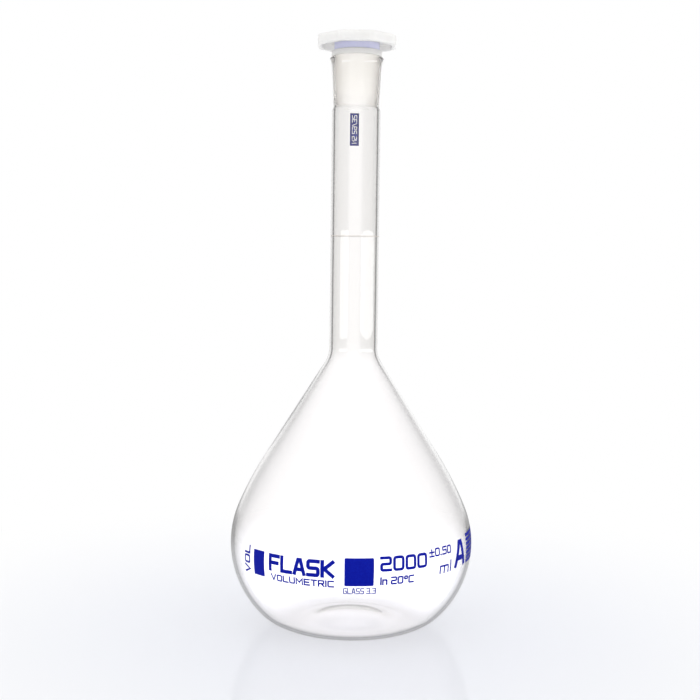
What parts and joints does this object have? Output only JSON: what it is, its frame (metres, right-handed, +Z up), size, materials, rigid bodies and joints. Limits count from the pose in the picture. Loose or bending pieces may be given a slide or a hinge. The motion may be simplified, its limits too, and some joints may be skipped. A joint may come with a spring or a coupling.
{
  "type": "volumetric flask",
  "caption": "Pear-shaped glass measuring flask with a long narrow neck, a ground socket and an octagonal plastic stopper that lifts out.",
  "frame": {"origin": "centre of the foot, on the surface that the flask stands on", "axes": "+Z up along the flask's axis; the print on the bulb faces -Y"},
  "size_m": [0.16, 0.16, 0.3859],
  "materials": {
    "clear_glass": "clear fire-polished borosilicate, ground inside the socket",
    "white_polyethylene": "natural translucent, satin as moulded",
    "blue_polyethylene": "pale blue, satin as moulded",
    "blue_enamel": "screen-printed glass enamel, fired on"
  },
  "bodies": {
    "flask": {"flask_body": "clear_glass"},
    "ring": {"colour_ring": "blue_polyethylene"},
    "stopper": {"stopper": "white_polyethylene"}
  },
  "joints": [
    {"name": "stopper_lift", "type": "slide", "parent": "flask", "child": "ring", "axis": [0, 0, 1], "range_m": [0, 0.05]},
    {"name": "stopper_twist", "type": "hinge", "parent": "ring", "child": "stopper", "pos_m": [0, 0, 0.373], "axis": [0, 0, 1], "continuous": true}
  ]
}
